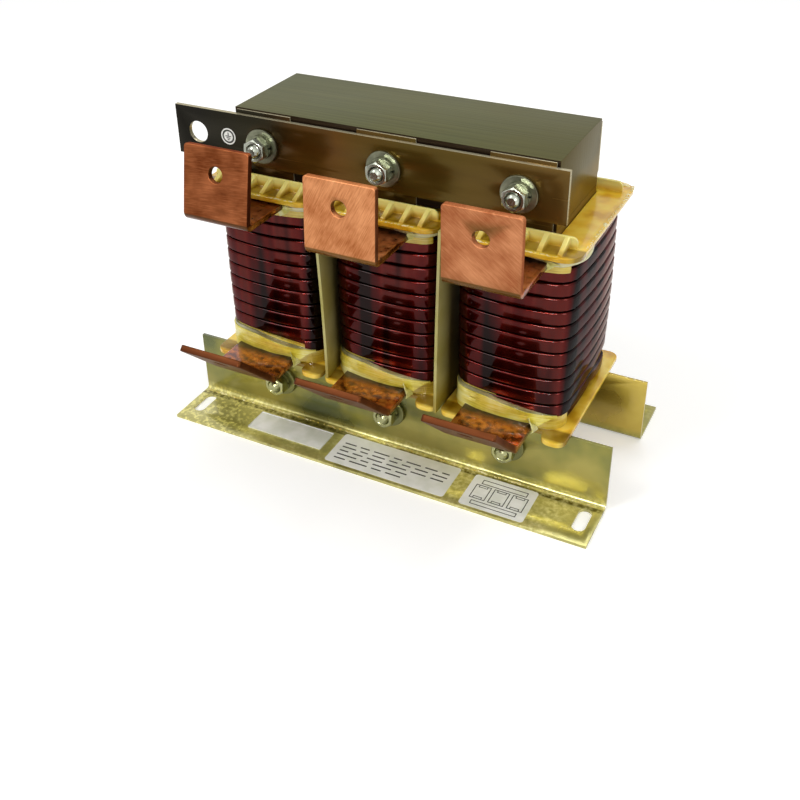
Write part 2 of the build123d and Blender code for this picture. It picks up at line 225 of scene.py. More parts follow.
# Stacked electrical steel under a thin varnish: fine lines along the sheets, a soft olive sheen
def varnishedLaminations():
    material, add, place = startMaterial("varnished_laminations")
    # sheets are 0.5 mm thick, drawn as groups of about 1.6 mm so that they show
    sheets = add("Mapping", {"Vector": place, "Scale": (4, 620, 4)})
    lines = add("TexNoise", {"Vector": sheets, "Scale": 1, "Detail": 2})
    cloud = add("TexNoise", {"Vector": place, "Scale": 11, "Detail": 3})
    tone = add("ValToRGB", {"Fac": lines}, stops=[(0.3, "343a20"), (0.7, "5a5e38")])
    film = add("ValToRGB", {"Fac": cloud}, stops=[(0.35, "444a28"), (0.7, "585020")])
    spot = add("SeparateXYZ", {"Vector": place}).node.outputs
    warm = add("MapRange", {"Value": spot["X"], "From Min": 0.02, "From Max": 0.14, "To Max": 0.6})
    sheen = add("Mix", {0: 0.4, 6: tone, 7: film}, **colourMix)
    edges = add("Mix", {0: warm, 6: sheen, 7: hexColour("4c4622")}, **colourMix)
    # varnish ran down the stack's ends and dried yellow-brown near their lower edge
    ragged = add("MapRange", {"Value": cloud, "To Min": -26 * mm, "To Max": 26 * mm})
    level = add("Math", {0: spot["Z"], 1: ragged}, operation="ADD")
    run = add("MapRange", {"Value": level, "From Min": 285 * mm, "From Max": 268 * mm})
    # the ends turned to +X are painted darker here, as painted shade; the mask also carries the real stain
    # below
    ends = facing(add, "X")
    endShade = add("Math", {0: ends, 1: 0.85}, operation="MULTIPLY")
    edges = add("Mix", {0: endShade, 6: edges, 7: hexColour("54461e")}, **colourMix)
    stained = add("Math", {0: run, 1: ends}, operation="MULTIPLY")
    sides = add("Mix", {0: stained, 6: edges, 7: hexColour("806420")}, **colourMix)
    outerSheet = add("Math", {0: facing(add, "Y", -0.6, -0.9), 1: facing(add, "Y")}, operation="MAXIMUM")
    colour = add("Mix", {0: outerSheet, 6: sides, 7: hexColour("2c2016")}, **colourMix)
    rough = add("MapRange", {"Value": cloud, "To Min": 0.3, "To Max": 0.42})
    bump = add("Bump", {"Height": lines, "Strength": 0.5, "Distance": 0.25 * mm})
    return dressed(material, {"Base Color": colour, "Metallic": 0.5, "Normal": bump,
                              "Specular IOR Level": 0.28, "Specular Tint": hexColour("c4c0a2"),
                              "Roughness": rough, "Coat Weight": 0.05, "Coat Roughness": 0.15})


# Flat steel bar under dark varnish: charcoal at its bare end, brown along the rest, partly thick varnish
# and partly a painted reflection of a brown wooden floor, with the sheared upper edges showing brighter
# metal
def darkBarSteel():
    material, add, place = startMaterial("dark_varnished_bar")
    along = add("Mapping", {"Vector": place, "Scale": (6, 300, 300)})
    marks = add("TexNoise", {"Vector": along, "Scale": 1, "Detail": 1})
    cloud = add("TexNoise", {"Vector": place, "Scale": 12, "Detail": 1})
    across = add("SeparateXYZ", {"Vector": place}, output="X")
    shifted = add("MapRange", {"Value": cloud, "To Min": -0.1, "To Max": 0.1})
    moved = add("Math", {0: across, 1: shifted}, operation="ADD")
    share = add("MapRange", {"Value": moved, "From Min": barLow.x, "From Max": barHigh.x})
    # the brown stops are partly thick varnish and partly a painted reflection of a brown wooden floor
    tone = add("ValToRGB", {"Fac": share}, stops=[(0.1, "0e0d0b"), (0.3, "1e1b0e"), (0.44, "5a3a10"),
                                                  (0.66, "504014"), (0.92, "5e471e")])
    sheared = add("Math", {0: facing(add, "Z"), 1: facing(add, "X")}, operation="MAXIMUM")
    colour = add("Mix", {0: sheared, 6: tone, 7: hexColour("b4ac90")}, **colourMix)
    rough = add("MapRange", {"Value": marks, "To Min": 0.22, "To Max": 0.3})
    bump = add("Bump", {"Height": marks, "Strength": 0.05, "Distance": 0.1 * mm})
    return dressed(material, {"Base Color": colour, "Metallic": 0.55, "Normal": bump,
                              "Specular IOR Level": 0.3, "Specular Tint": hexColour("d0c4a0"),
                              "Roughness": rough, "Coat Weight": 0.06, "Coat Roughness": 0.08})


# Folded sheet, yellow-green passivated zinc under varnish: a dull mirror above, olive foot below
# with gold glitter where the varnish dried in grains, and a dark band beside the fold
def passivatedSheet(name, upperTones, lowerTones, foldPlace):
    material, add, place = startMaterial(name)
    spot = add("SeparateXYZ", {"Vector": place}).node.outputs
    foot = add("MapRange", {"Value": spot["Z"], "From Min": 4 * mm, "From Max": 12 * mm})
    cloud = add("TexNoise", {"Vector": place, "Scale": 16, "Detail": 3})
    upper = add("ValToRGB", {"Fac": cloud}, stops=list(zip((0.36, 0.5, 0.64), upperTones)))
    grains = add("TexNoise", {"Vector": place, "Scale": 250, "Detail": 3, "Roughness": 0.6})
    gritty = add("MapRange", {"Value": cloud, "From Min": 0.45, "From Max": 0.7, "To Min": 0.15,
                              "To Max": 0.8})
    both = add("Mix", {0: gritty, 2: cloud, 3: grains})
    lower = add("ValToRGB", {"Fac": both}, stops=list(zip((0.36, 0.5, 0.66), lowerTones)))
    # pale streaks of dried varnish near the left end
    leftEnd = add("MapRange", {"Value": spot["X"], "From Min": footLow.x + 85 * mm,
                               "From Max": footLow.x + 55 * mm})
    streaks = add("MapRange", {"Value": grains, "From Min": 0.5, "From Max": 0.62})
    streaks = add("Math", {0: streaks, 1: leftEnd}, operation="MULTIPLY")
    streaked = add("Mix", {0: streaks, 6: lower, 7: hexColour("f0e68c")}, **colourMix)
    near = add("Math", {0: spot["Y"], 1: foldPlace}, operation="SUBTRACT")
    apart = add("Math", {0: near}, operation="ABSOLUTE")
    band = add("MapRange", {"Value": apart, "From Min": 3.2 * mm, "From Max": 2.0 * mm})
    dotted = add("MapRange", {"Value": grains, "From Min": 0.35, "From Max": 0.6, "To Min": 1.0,
                              "To Max": 0.4})
    band = add("Math", {0: band, 1: dotted}, operation="MULTIPLY")
    darkened = add("Mix", {0: band, 6: streaked, 7: hexColour("5c5412")}, **colourMix)
    colour = add("Mix", {0: foot, 6: darkened, 7: upper}, **colourMix)
    metal = add("MapRange", {"Value": foot, "To Min": 0.5, "To Max": 0.8})
    rough = add("MapRange", {"Value": cloud, "To Min": 0.2, "To Max": 0.38})
    bump = add("Bump", {"Height": grains, "Strength": 0.4, "Distance": 0.25 * mm})
    return dressed(material, {"Base Color": colour, "Metallic": metal, "Normal": bump, "Roughness": rough,
                              "Coat Weight": 0.35, "Coat Roughness": 0.05})


# Zinc-plated fasteners: bright and cool nuts, duller washers; the lower ones keep a yellow skin
# of varnish
def zincPlate(name, dark, pale, lowest, smoothest):
    material, add, place = startMaterial(name)
    height = add("SeparateXYZ", {"Vector": place}, output="Z")
    low = add("MapRange", {"Value": height, "From Min": 120 * mm, "From Max": 60 * mm})
    cloud = add("TexNoise", {"Vector": place, "Scale": 120, "Detail": 2})
    tone = add("ValToRGB", {"Fac": cloud}, stops=[(0.35, dark), (0.7, pale)])
    colour = add("Mix", {0: low, 6: tone, 7: hexColour(lowest)}, **colourMix)
    rough = add("MapRange", {"Value": cloud, "To Min": smoothest, "To Max": smoothest + 0.06})
    return dressed(material, {"Base Color": colour, "Metallic": 1.0, "Roughness": rough})


# Dark red enamel on flat copper wire: the metal shines red through it; its upright patches are painted
# reflections
def redEnamel():
    material, add, place = startMaterial("red_wire_enamel")
    upright = add("Mapping", {"Vector": place, "Scale": (44, 44, 2.5)})
    reflectionPatches = add("TexNoise", {"Vector": upright, "Scale": 1, "Detail": 1})
    # the near-black and brighter red stops paint reflections of the surroundings, in upright patches
    tone = add("ValToRGB", {"Fac": reflectionPatches}, stops=[(0.38, "120202"), (0.43, "340404"), (0.5, "480604"),
                                                    (0.54, "541510"), (0.6, "481410"), (0.64, "240303")])
    ripple = add("TexNoise", {"Vector": place, "Scale": 60, "Detail": 1})
    bump = add("Bump", {"Height": ripple, "Strength": 0.1, "Distance": 0.4 * mm})
    return dressed(material, {"Base Color": tone, "Metallic": 0.9, "Roughness": 0.2, "Normal": bump,
                              "Coat Weight": 0.22, "Coat Roughness": 0.03, "Coat Normal": bump,
                              "Specular IOR Level": 0.3, "Specular Tint": hexColour("b08878")})


# Copper bar: finely brushed bare plate, painted shade on its sides and front ends; orange-brown varnish on
# its root, burnt dark in a ragged band beside the coil; painted shade and varnish on faces looking down
def brushedCopper(name, look, burntFrom, burntTo, varnishLow, varnishHigh, axis):
    material, add, place = startMaterial(name)
    brushed = add("Mapping", {"Vector": place, "Rotation": (0, math.radians(look["brushAngle"]), 0)})
    # brush marks are about 0.3 mm apart, drawn at about 0.7 mm
    along = add("Mapping", {"Vector": brushed, "Scale": (90, 300, 1400)})
    marks = add("TexNoise", {"Vector": along, "Scale": 1, "Detail": 2})
    cloud = add("TexNoise", {"Vector": place, "Scale": 38, "Detail": 4})
    bare = add("ValToRGB", {"Fac": marks}, stops=[(0.3, look["dark"]), (0.52, look["mid"]),
                                                  (0.75, look["pale"])])
    stain = add("ValToRGB", {"Fac": cloud}, stops=[(0.35, look["dark"]), (0.65, look["pale"])])
    plate = add("Mix", {0: 0.55, 6: bare, 7: stain}, **colourMix)
    # the faces turned to +X and to the front are painted darker, as painted shade
    shadedSides = add("Math", {0: facing(add, "X", 0.7, 0.95), 1: look["sides"]}, operation="MULTIPLY")
    shadedFronts = add("Math", {0: facing(add, "Y", -0.4, -0.7), 1: look["ends"]}, operation="MULTIPLY")
    dark = add("Math", {0: shadedSides, 1: shadedFronts}, operation="MAXIMUM")
    plate = add("Mix", {0: dark, 6: plate, 7: hexColour("4a2412")}, **colourMix)
    grit = add("TexNoise", {"Vector": place, "Scale": 170, "Detail": 3})
    amber = add("ValToRGB", {"Fac": grit}, stops=[(0.34, "5e340a"), (0.5, "b0641c"), (0.66, "dc8c34")])
    spot = add("SeparateXYZ", {"Vector": place}).node.outputs
    uneven = add("MapRange", {"Value": grit, "To Min": -3 * mm, "To Max": 3 * mm})
    away = add("Math", {0: spot[axis], 1: uneven}, operation="ADD")
    varnish = add("MapRange", {"Value": away, "From Min": varnishLow, "From Max": varnishHigh})
    ragged = add("MapRange", {"Value": grit, "To Min": -9 * mm, "To Max": 9 * mm})
    inward = add("Math", {0: spot["Y"], 1: ragged}, operation="ADD")
    burnt = add("MapRange", {"Value": inward, "From Min": burntFrom, "From Max": burntTo})
    coated = add("Mix", {0: varnish, 6: plate, 7: amber}, **colourMix)
    colour = add("Mix", {0: burnt, 6: coated, 7: hexColour("261c0a")}, **colourMix)
    # faces looking down, round the bend and under the plate, get a dark band: partly varnish that ran there,
    # partly painted shade
    under = add("Math", {0: facing(add, "Z", -0.02, -0.15), 1: 0.88}, operation="MULTIPLY")
    colour = add("Mix", {0: under, 6: colour, 7: hexColour(look["under"])}, **colourMix)
    rough = add("MapRange", {"Value": varnish, "To Min": 0.44, "To Max": 0.2})
    coat = add("MapRange", {"Value": varnish, "To Min": 0.0, "To Max": 0.8})
    height = add("Mix", {0: varnish, 2: marks, 3: grit})
    bump = add("Bump", {"Height": height, "Strength": 0.35, "Distance": 0.15 * mm})
    metal = add("MapRange", {"Value": under, "To Min": look["metal"], "To Max": 0.1})
    shine = add("MapRange", {"Value": under, "To Min": 0.5, "To Max": 0.15})
    film = add("MapRange", {"Value": under, "To Min": 1.0, "To Max": 0.15})
    coat = add("Math", {0: coat, 1: film}, operation="MULTIPLY")
    return dressed(material, {"Base Color": colour, "Metallic": metal, "Normal": bump, "Roughness": rough,
                              "Coat Weight": coat, "Specular IOR Level": shine,
                              "Specular Tint": hexColour("c88c5c"), "Coat Roughness": 0.06})


# Moulded yellow plastic soaked in clear varnish: pale raised ribs, amber varnish pools darkened by painted
# shade
def varnishedPlastic(name, floorHeight, tones, ribTone):
    material, add, place = startMaterial(name)
    spot = add("SeparateXYZ", {"Vector": place}).node.outputs
    raised = add("MapRange", {"Value": spot["Z"], "From Min": floorHeight + 0.4 * mm,
                              "From Max": floorHeight + 6 * mm})
    cloud = add("TexNoise", {"Vector": place, "Scale": 42, "Detail": 2})
    pooled = add("ValToRGB", {"Fac": cloud}, stops=list(zip((0.36, 0.5, 0.62), tones)))
    ribbed = add("Mix", {0: raised, 6: pooled, 7: hexColour(ribTone)}, **colourMix)
    # between the ribs near their feet: real amber varnish pools, darkened further as painted shade in the
    # corners
    front = add("MapRange", {"Value": spot["Y"], "From Min": stackY - 80 * mm,
                             "From Max": stackY - 76 * mm})
    back = add("MapRange", {"Value": spot["Y"], "From Min": stackY - 60 * mm, "From Max": stackY - 63 * mm})
    foot = add("MapRange", {"Value": spot["Z"], "From Min": floorHeight + 4 * mm, "From Max": floorHeight})
    between = add("Math", {0: front, 1: back}, operation="MULTIPLY")
    patchy = add("MapRange", {"Value": cloud, "From Min": 0.3, "From Max": 0.6, "To Min": 1.0,
                              "To Max": 0.7})
    poolAndShade = add("Math", {0: between, 1: foot}, operation="MULTIPLY")
    poolAndShade = add("Math", {0: poolAndShade, 1: patchy}, operation="MULTIPLY")
    colour = add("Mix", {0: poolAndShade, 6: ribbed, 7: hexColour("644602")}, **colourMix)
    ripples = add("TexNoise", {"Vector": place, "Scale": 140, "Detail": 2})
    bump = add("Bump", {"Height": ripples, "Strength": 0.45, "Distance": 0.6 * mm})
    return dressed(material, {"Base Color": colour, "Roughness": 0.22, "IOR": 1.5,
                              "Specular Tint": hexColour("f4d878"), "Normal": bump,
                              "Subsurface Weight": 0.25, "Subsurface Radius": (1.0, 0.7, 0.2),
                              "Subsurface Scale": 3 * mm, "Coat Weight": 0.35, "Coat Roughness": 0.04})


# Thin cream insulating sheet, varnish soaked up from its foot
def barrierSheet():
    material, add, place = startMaterial("cream_barrier_sheet")
    spot = add("SeparateXYZ", {"Vector": place}).node.outputs
    cloud = add("TexNoise", {"Vector": place, "Scale": 30, "Detail": 3})
    wobble = add("MapRange", {"Value": cloud, "To Min": -12 * mm, "To Max": 12 * mm})
    level = add("Math", {0: spot["Z"], 1: wobble}, operation="ADD")
    soaked = add("MapRange", {"Value": level, "From Min": 78 * mm, "From Max": 104 * mm})
    tone = add("ValToRGB", {"Fac": cloud}, stops=[(0.35, "b8ae5c"), (0.65, "c8c07a")])
    colour = add("Mix", {0: soaked, 6: hexColour("98841c"), 7: tone}, **colourMix)
    # beside the coils the sheet is painted dark brown as shade between the coils, fading out again towards
    # the back
    front = add("MapRange", {"Value": spot["Y"], "From Min": stackY - 78 * mm, "From Max": stackY - 50 * mm,
                             "To Max": 0.85})
    back = add("MapRange", {"Value": spot["Y"], "From Min": stackY + 60 * mm, "From Max": stackY + 20 * mm})
    shadeBetweenCoils = add("Math", {0: front, 1: back}, operation="MULTIPLY")
    colour = add("Mix", {0: shadeBetweenCoils, 6: colour, 7: hexColour("4a3a0c")}, **colourMix)
    return dressed(material, {"Base Color": colour, "Roughness": 0.38, "IOR": 1.5, "Coat Weight": 0.2,
                              "Coat Roughness": 0.1})


# Woven glass tape, wound on and varnished: fibre lines along it, whitish where it stayed dry
def glassTape(name, dark, mid, pale):
    material, add, place = startMaterial(name)
    # threads are about 0.4 mm apart, drawn at about 0.8 mm
    level = add("Mapping", {"Vector": place, "Scale": (40, 40, 1250)})
    threads = add("TexNoise", {"Vector": level, "Scale": 1, "Detail": 2})
    cloud = add("TexNoise", {"Vector": place, "Scale": 45, "Detail": 3})
    both = add("Mix", {0: 0.62, 2: threads, 3: cloud})
    tone = add("ValToRGB", {"Fac": both}, stops=[(0.36, dark), (0.5, mid), (0.64, pale)])
    bump = add("Bump", {"Height": both, "Strength": 0.45, "Distance": 0.5 * mm})
    return dressed(material, {"Base Color": tone, "Roughness": 0.36, "IOR": 1.5, "Normal": bump,
                              "Coat Weight": 0.6, "Coat Roughness": 0.12})


# Glass-fibre board and tube, mostly hidden: matt straw colour with faint fibres
def fibreBoard():
    material, add, place = startMaterial("glass_fibre_board")
    fibres = add("Mapping", {"Vector": place, "Scale": (60, 60, 700)})
    lines = add("TexNoise", {"Vector": fibres, "Scale": 1, "Detail": 2})
    tone = add("ValToRGB", {"Fac": lines}, stops=[(0.3, "a89a5e"), (0.7, "cbbf86")])
    return dressed(material, {"Base Color": tone, "Roughness": 0.6, "IOR": 1.5})


# Set drops of varnish: wet-looking pale beads that glitter along the edges
def varnishDrops():
    material, add, place = startMaterial("set_varnish_drops")
    cloud = add("TexNoise", {"Vector": place, "Scale": 120, "Detail": 1})
    tone = add("ValToRGB", {"Fac": cloud}, stops=[(0.35, "d8bc48"), (0.65, "f8f0b8")])
    return dressed(material, {"Base Color": tone, "Roughness": 0.05, "IOR": 1.52, "Coat Weight": 0.6,
                              "Coat Roughness": 0.03})


# Printed silver foil: pale, satin, with a faint grain; ink is the same foil printed dark
def labelFoil(name, dark, pale, rough):
    material, add, place = startMaterial(name)
    cloud = add("TexNoise", {"Vector": place, "Scale": 60, "Detail": 2})
    tone = add("ValToRGB", {"Fac": cloud}, stops=[(0.35, dark), (0.65, pale)])
    return dressed(material, {"Base Color": tone, "Roughness": rough, "Specular IOR Level": 0.4})


laminations = varnishedLaminations()
barSteel = darkBarSteel()
frontSheet = passivatedSheet("passivated_front_sheet", ("5a5f36", "837f3c", "9c9148"),
                             ("9a9450", "c4bc70", "eee8a8"), stackY - 64.6 * mm)
noFold = 1.0  # far from the object, so the rear bracket has no dark band
rearSheet = passivatedSheet("passivated_rear_sheet", ("9a8438", "b29a40", "c2aa4c"),
                            ("7e7a28", "9a923c", "b8ac54"), noFold)
nutZinc = zincPlate("bright_zinc_nuts", "9ea294", "c0c4b6", "a8a87c", 0.2)
washerZinc = zincPlate("dull_zinc_washers", "6a6c5a", "8c8e78", "7c7c54", 0.3)
enamel = redEnamel()
upperPlastic = varnishedPlastic("varnished_yellow_plastic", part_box("upper_end_frame_left")[0].z + 4.4 * mm,
                                ("cc9814", "e6ba2e", "eecc46"), "e8dc84")
lowerPlastic = varnishedPlastic("varnished_yellow_base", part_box("lower_end_frame_left")[0].z + 4.4 * mm,
                                ("d09c1c", "ecc23a", "f4d660"), "e8d068")
barrierBoard = barrierSheet()
outerTape = glassTape("varnished_glass_tape", "bea626", "e8d84a", "f6f0a0")
innerTape = glassTape("dry_glass_tape", "5e5a34", "8c8858", "b4b088")
flapTape = glassTape("yellow_glass_tape", "b8941c", "dcc03c", "ecdc7c")
knotTape = glassTape("pale_loose_tape", "b4ac3c", "dcd878", "f4f2c4")
creamFiller = glassTape("cream_filler", "c9c488", "e0dca6", "f2efd0")
board = fibreBoard()
drops = varnishDrops()
foil = labelFoil("silver_label_foil", "e8eae0", "fafaf6", 0.34)
ink = labelFoil("printed_black_ink", "26261f", "34342b", 0.5)
print("materials ready")


# Core, strips, bars, brackets and end frames, with the width of each one's broken edges

edgeWidths = {"yoke": 0.35 * mm, "strip": 0.3 * mm, "bar": 0.4 * mm, "bracket": 0.3 * mm,
              "frame": 0.7 * mm, "terminal": 0.8 * mm, "flap": 0.3 * mm}
for place in ("top", "bottom"):
    brokenEdges(place + "_yoke", laminations, edgeWidths["yoke"])
for phase in phases:
    paint("lower_limb_packet_" + phase, laminations)
    paint("upper_limb_packet_" + phase, laminations)
    paint("air_gap_spacer_" + phase, board)
    paint("coil_former_" + phase, board)
    brokenEdges("front_tie_plate_" + phase, barSteel, edgeWidths["strip"])
    brokenEdges("rear_tie_plate_" + phase, barSteel, edgeWidths["strip"])
paint("bolt_sleeves", board)
for place in ("front", "rear"):
    brokenEdges("upper_" + place + "_clamp_bar", barSteel, edgeWidths["bar"])
for place, sheet in (("front", frontSheet), ("rear", rearSheet)):
    brokenEdges("lower_" + place + "_bracket", sheet, edgeWidths["bracket"])
for phase in phases:
    brokenEdges("upper_end_frame_" + phase, upperPlastic, edgeWidths["frame"], 3)
    brokenEdges("lower_end_frame_" + phase, lowerPlastic, edgeWidths["frame"], 3)
print("core, steelwork and end frames done")


# Terminals

# Brush marks are turned from level by brushAngle, seen from the front
# sides and ends set how much painted shade darkens faces turned to +X and to the front; the colour for faces
# looking down is painted shade too
copperLooks = {
    "left": {"brushAngle": 4, "dark": "56280f", "mid": "7e4222", "pale": "a4633e", "sides": 0.9,
             "ends": 0, "under": "4a2e10", "metal": 0.8},
    "middle": {"brushAngle": 62, "dark": "94542c", "mid": "c07c50", "pale": "da9a6a", "sides": 0.7,
               "ends": 0, "under": "6a4a1c", "metal": 0.8},
    "right": {"brushAngle": -38, "dark": "8a4c2c", "mid": "ac6a44", "pale": "c88a60", "sides": 0.25,
              "ends": 0, "under": "5c4218", "metal": 0.8},
    "lower": {"brushAngle": 0, "dark": "321806", "mid": "5c3010", "pale": "94582c", "sides": 0.5,
              "ends": 0.9, "under": "5a3612", "metal": 0.6},
}
for phase in phases:
    low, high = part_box("upper_terminal_" + phase)
    copper = brushedCopper("brushed_copper_" + phase, copperLooks[phase], stackY - 84 * mm,
                           stackY - 76 * mm, low.z + 7 * mm, low.z + 4 * mm, "Z")
    brokenEdges("upper_terminal_" + phase, copper, edgeWidths["terminal"], 3)
lowerCopper = brushedCopper("dull_varnished_copper", copperLooks["lower"], stackY - 82 * mm,
                            stackY - 74 * mm, stackY - 112 * mm, stackY - 104 * mm, "Y")
for phase in phases:
    brokenEdges("lower_terminal_" + phase, lowerCopper, edgeWidths["terminal"], 3)
print("terminals done")


# The coils' outline: four shallow arcs with rounded corners

coil = {
    "cornerX": 49.5 * mm, "cornerY": 62 * mm, "side": 53.5 * mm, "face": 70 * mm, "round": 18 * mm,
    "barrel": 2.0 * mm,
}


# Radius of an arc, from half its chord and its rise
def arcRadius(half, rise):
    return (half ** 2 + rise ** 2) / 2 / rise


faceRadius = arcRadius(coil["cornerX"], coil["face"] - coil["cornerY"])
sideRadius = arcRadius(coil["cornerY"], coil["side"] - coil["cornerX"])
faceCentre = Vector((0, coil["face"] - faceRadius))
sideCentre = Vector((coil["side"] - sideRadius, 0))


# Centre of the corner's rounding, inside both arcs by the rounding's radius
def cornerCentre():
    first = faceRadius - coil["round"]
    second = sideRadius - coil["round"]
    apart = (sideCentre - faceCentre).length
    heading = (sideCentre - faceCentre) / apart
    along = (first ** 2 - second ** 2 + apart ** 2) / 2 / apart
    aside = math.sqrt(first ** 2 - along ** 2)
    return faceCentre + heading * along + Vector((-heading.y, heading.x)) * -aside


corner = cornerCentre()


# How far the outline lies from the limb's middle in a direction, grown by some amount
def coilReach(angle, growth=0.0):
    heading = Vector((abs(math.cos(angle)), abs(math.sin(angle))))
    toFace = (corner - faceCentre).normalized() * (faceRadius + growth) + faceCentre
    toSide = (corner - sideCentre).normalized() * (sideRadius + growth) + sideCentre
    if heading.y * toFace.x > heading.x * toFace.y:
        centre, radius = faceCentre, faceRadius
    elif heading.y * toSide.x < heading.x * toSide.y:
        centre, radius = sideCentre, sideRadius
    else:
        centre, radius = corner, coil["round"]
    along = heading.dot(centre)
    return along + math.sqrt(along ** 2 + (radius + growth) ** 2 - centre.length_squared)


# Windings: flat wire, level on each turn and stepping up to the next one on the coil's left side

wire = {
    "pitch": 13.2 * mm, "gap": 0.8 * mm, "thickness": 4.0 * mm, "turns": 11.3, "stepsPerTurn": 80,
    "startX": {"left": 37 * mm, "middle": -18 * mm, "right": -18 * mm},
    "dip": 10.5 * mm, "innerInset": 4.5 * mm,
}
firstCorner = math.atan2(-67, 38)
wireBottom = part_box("winding_left")[0].z


# Height of the wire's lower edge after some turns from the right front corner
def wireHeight(turns):
    whole = math.floor(turns)
    part = turns - whole
    height = wireBottom + wire["pitch"] * (whole + smoothStep(part, 0.56, 0.8))
    if whole == 0:
        height -= wire["dip"] * smoothStep(part, 0.15, 0.3) * (1 - smoothStep(part, 0.4, 0.56))
    return min(height, upperFrameBottom - wire["pitch"])


# Wire along the outline; its cross-section has rounded edges
def windWire(phase):
    startAngle = math.atan2(-68 * mm, wire["startX"][phase])
    firstTurn = (startAngle - firstCorner) / (2 * math.pi)
    steps = int((wire["turns"] - firstTurn) * wire["stepsPerTurn"])
    rounding = wire["thickness"] / 2
    curve = stripCurve("wire", (wire["pitch"] - wire["gap"]) / 2 - rounding, rounding, 3)
    curve.twist_mode = "Z_UP"
    line = curve.splines.new("POLY")
    line.points.add(steps)
    for number in range(steps + 1):
        turns = firstTurn + (wire["turns"] - firstTurn) * number / steps
        angle = firstCorner + 2 * math.pi * turns
        height = wireHeight(turns) + wire["pitch"] / 2
        share = (height - wireBottom) / (upperFrameBottom - wireBottom)
        barrel = coil["barrel"] * math.sin(math.pi * share) * abs(math.cos(angle))
        reach = coilReach(angle, barrel - rounding)
        line.points[number].co = (limbX[phase] + reach * math.cos(angle),
                                  stackY + reach * math.sin(angle), height, 1)
    return meshFromCurve(curve)


# A band round the coil between two angles; its edges may rise and fall, and it may wrinkle
def tapeBand(name, phase, startAngle, endAngle, bottomAt, topAt, inner, outer, wrinkle=0.0, steps=120,
             rows=5, flare=0.0):
    section = [(inner, 0.0)]
    section += [(outer, row / rows) for row in range(rows + 1)]
    section += [(inner, 1.0)]
    points = []
    for step in range(steps + 1):
        angle = startAngle + (endAngle - startAngle) * step / steps
        belly = flare * math.sin(math.pi * step / steps)
        bottom = bottomAt(angle)
        top = topAt(angle)
        for growth, share in section:
            outwards = Vector((math.cos(angle), math.sin(angle), 0))
            if growth != inner:
                growth += belly * math.sin(math.pi * (0.15 + 0.7 * share))
            spot = outwards * coilReach(angle, growth)
            spot.z = bottom + (top - bottom) * share
            if growth != inner:
                shake = noise.noise(Vector((angle * 5, spot.z / mm / 2.6, limbX[phase] * 40)))
                spot += outwards * shake * wrinkle
            points.append(spot + Vector((limbX[phase], stackY, 0)))
    count = len(section)
    faces = []
    for step in range(steps):
        for row in range(count):
            first, second = step * count + row, step * count + (row + 1) % count
            faces.append((first, first + count, second + count, second))
    faces += [tuple(range(count)), tuple(range(steps * count, steps * count + count))[::-1]]
    mesh = bpy.data.meshes.new(name)
    mesh.from_pydata(points, [], faces)
    band = newPiece(name, mesh)
    bpy.ops.object.mode_set(mode="EDIT")
    bpy.ops.mesh.select_all(action="SELECT")
    bpy.ops.mesh.normals_make_consistent(inside=False)
    bpy.ops.object.mode_set(mode="OBJECT")
    return band


for phase in phases:
    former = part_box("coil_former_" + phase)
    inside = tapeBand("inner_layer", phase, 0, 2 * math.pi, lambda angle: former[0].z + 0.3 * mm,
                      lambda angle: former[1].z - 0.3 * mm, -8 * mm, -wire["innerInset"], rows=1)
    finishPiece(joinPieces([windWire(phase), inside]), "winding_wire_" + phase, enamel,
                ["winding_" + phase], smoothAngle=50)
print("windings done")


# End insulation: filler, a dry inner tape whose edge shows, and the varnished tape over it

tape = {
    "fallX": -18 * mm, "fallTo": 2.5 * mm, "dryEdge": 3.2 * mm, "wrinkle": 0.9 * mm,
    "thickness": 0.8 * mm, "sideDrop": 10.45 * mm, "start": -228, "end": -54, "fillerEnd": -44,
}
bulge = {"start": -80, "end": -22, "foot": 4 * mm, "sag": 6 * mm, "wrinkle": 0.9 * mm, "flare": 9 * mm}
lowest = lowerFrameTop + 0.05 * mm


# Upper edge of the lower tape: level, then falling to the right corner, then under the dipping wire
def tapeTop(angle):
    x = coilReach(angle) * math.cos(angle)
    high = wireBottom + wire["pitch"] - 0.6 * mm
    low = wireBottom + tape["fallTo"]
    turns = ((angle - firstCorner) / (2 * math.pi)) % 1
    if math.sin(angle) < 0 and abs(math.cos(angle)) < 0.75:
        fallen = (x - tape["fallX"]) / (coil["cornerX"] - tape["fallX"])
        return high - (high - low) * min(max(fallen, 0), 1)
    if turns < 0.56:
        return low - tape["sideDrop"] * smoothStep(turns, 0.03, 0.24)
    return low + (high - low) * smoothStep(turns, 0.56, 0.8)


# Lower edge of the lower tape: on the frame, cut slantwise upwards near the tape's end
def tapeFoot(angle):
    return lowest + (tapeTop(angle) - lowest - 2 * mm) * smoothStep(math.degrees(angle), -72, -54)


# The filler stands a little above the tape, but near the right corner a little below it
def fillerTop(angle):
    if math.cos(angle) < 0.487:
        return max(tapeTop(angle) + 1.5 * mm, lowest + 1 * mm)
    return tapeTop(angle) - 0.5 * mm


# The outer tape leaves the dry one's edge bare, less so near the tape's end
def outerTop(angle):
    bare = tape["dryEdge"] * (1 - smoothStep(math.degrees(angle), -75, -55))
    return max(tapeTop(angle) - bare, lowest + 0.8 * mm)


# The corner's filler hangs lowest in front and rises towards the coil's side
def bulgeFoot(angle):
    sag = bulge["sag"] * (1 - smoothStep(math.degrees(angle), -62, -30))
    return upperFrameBottom - bulge["foot"] - sag


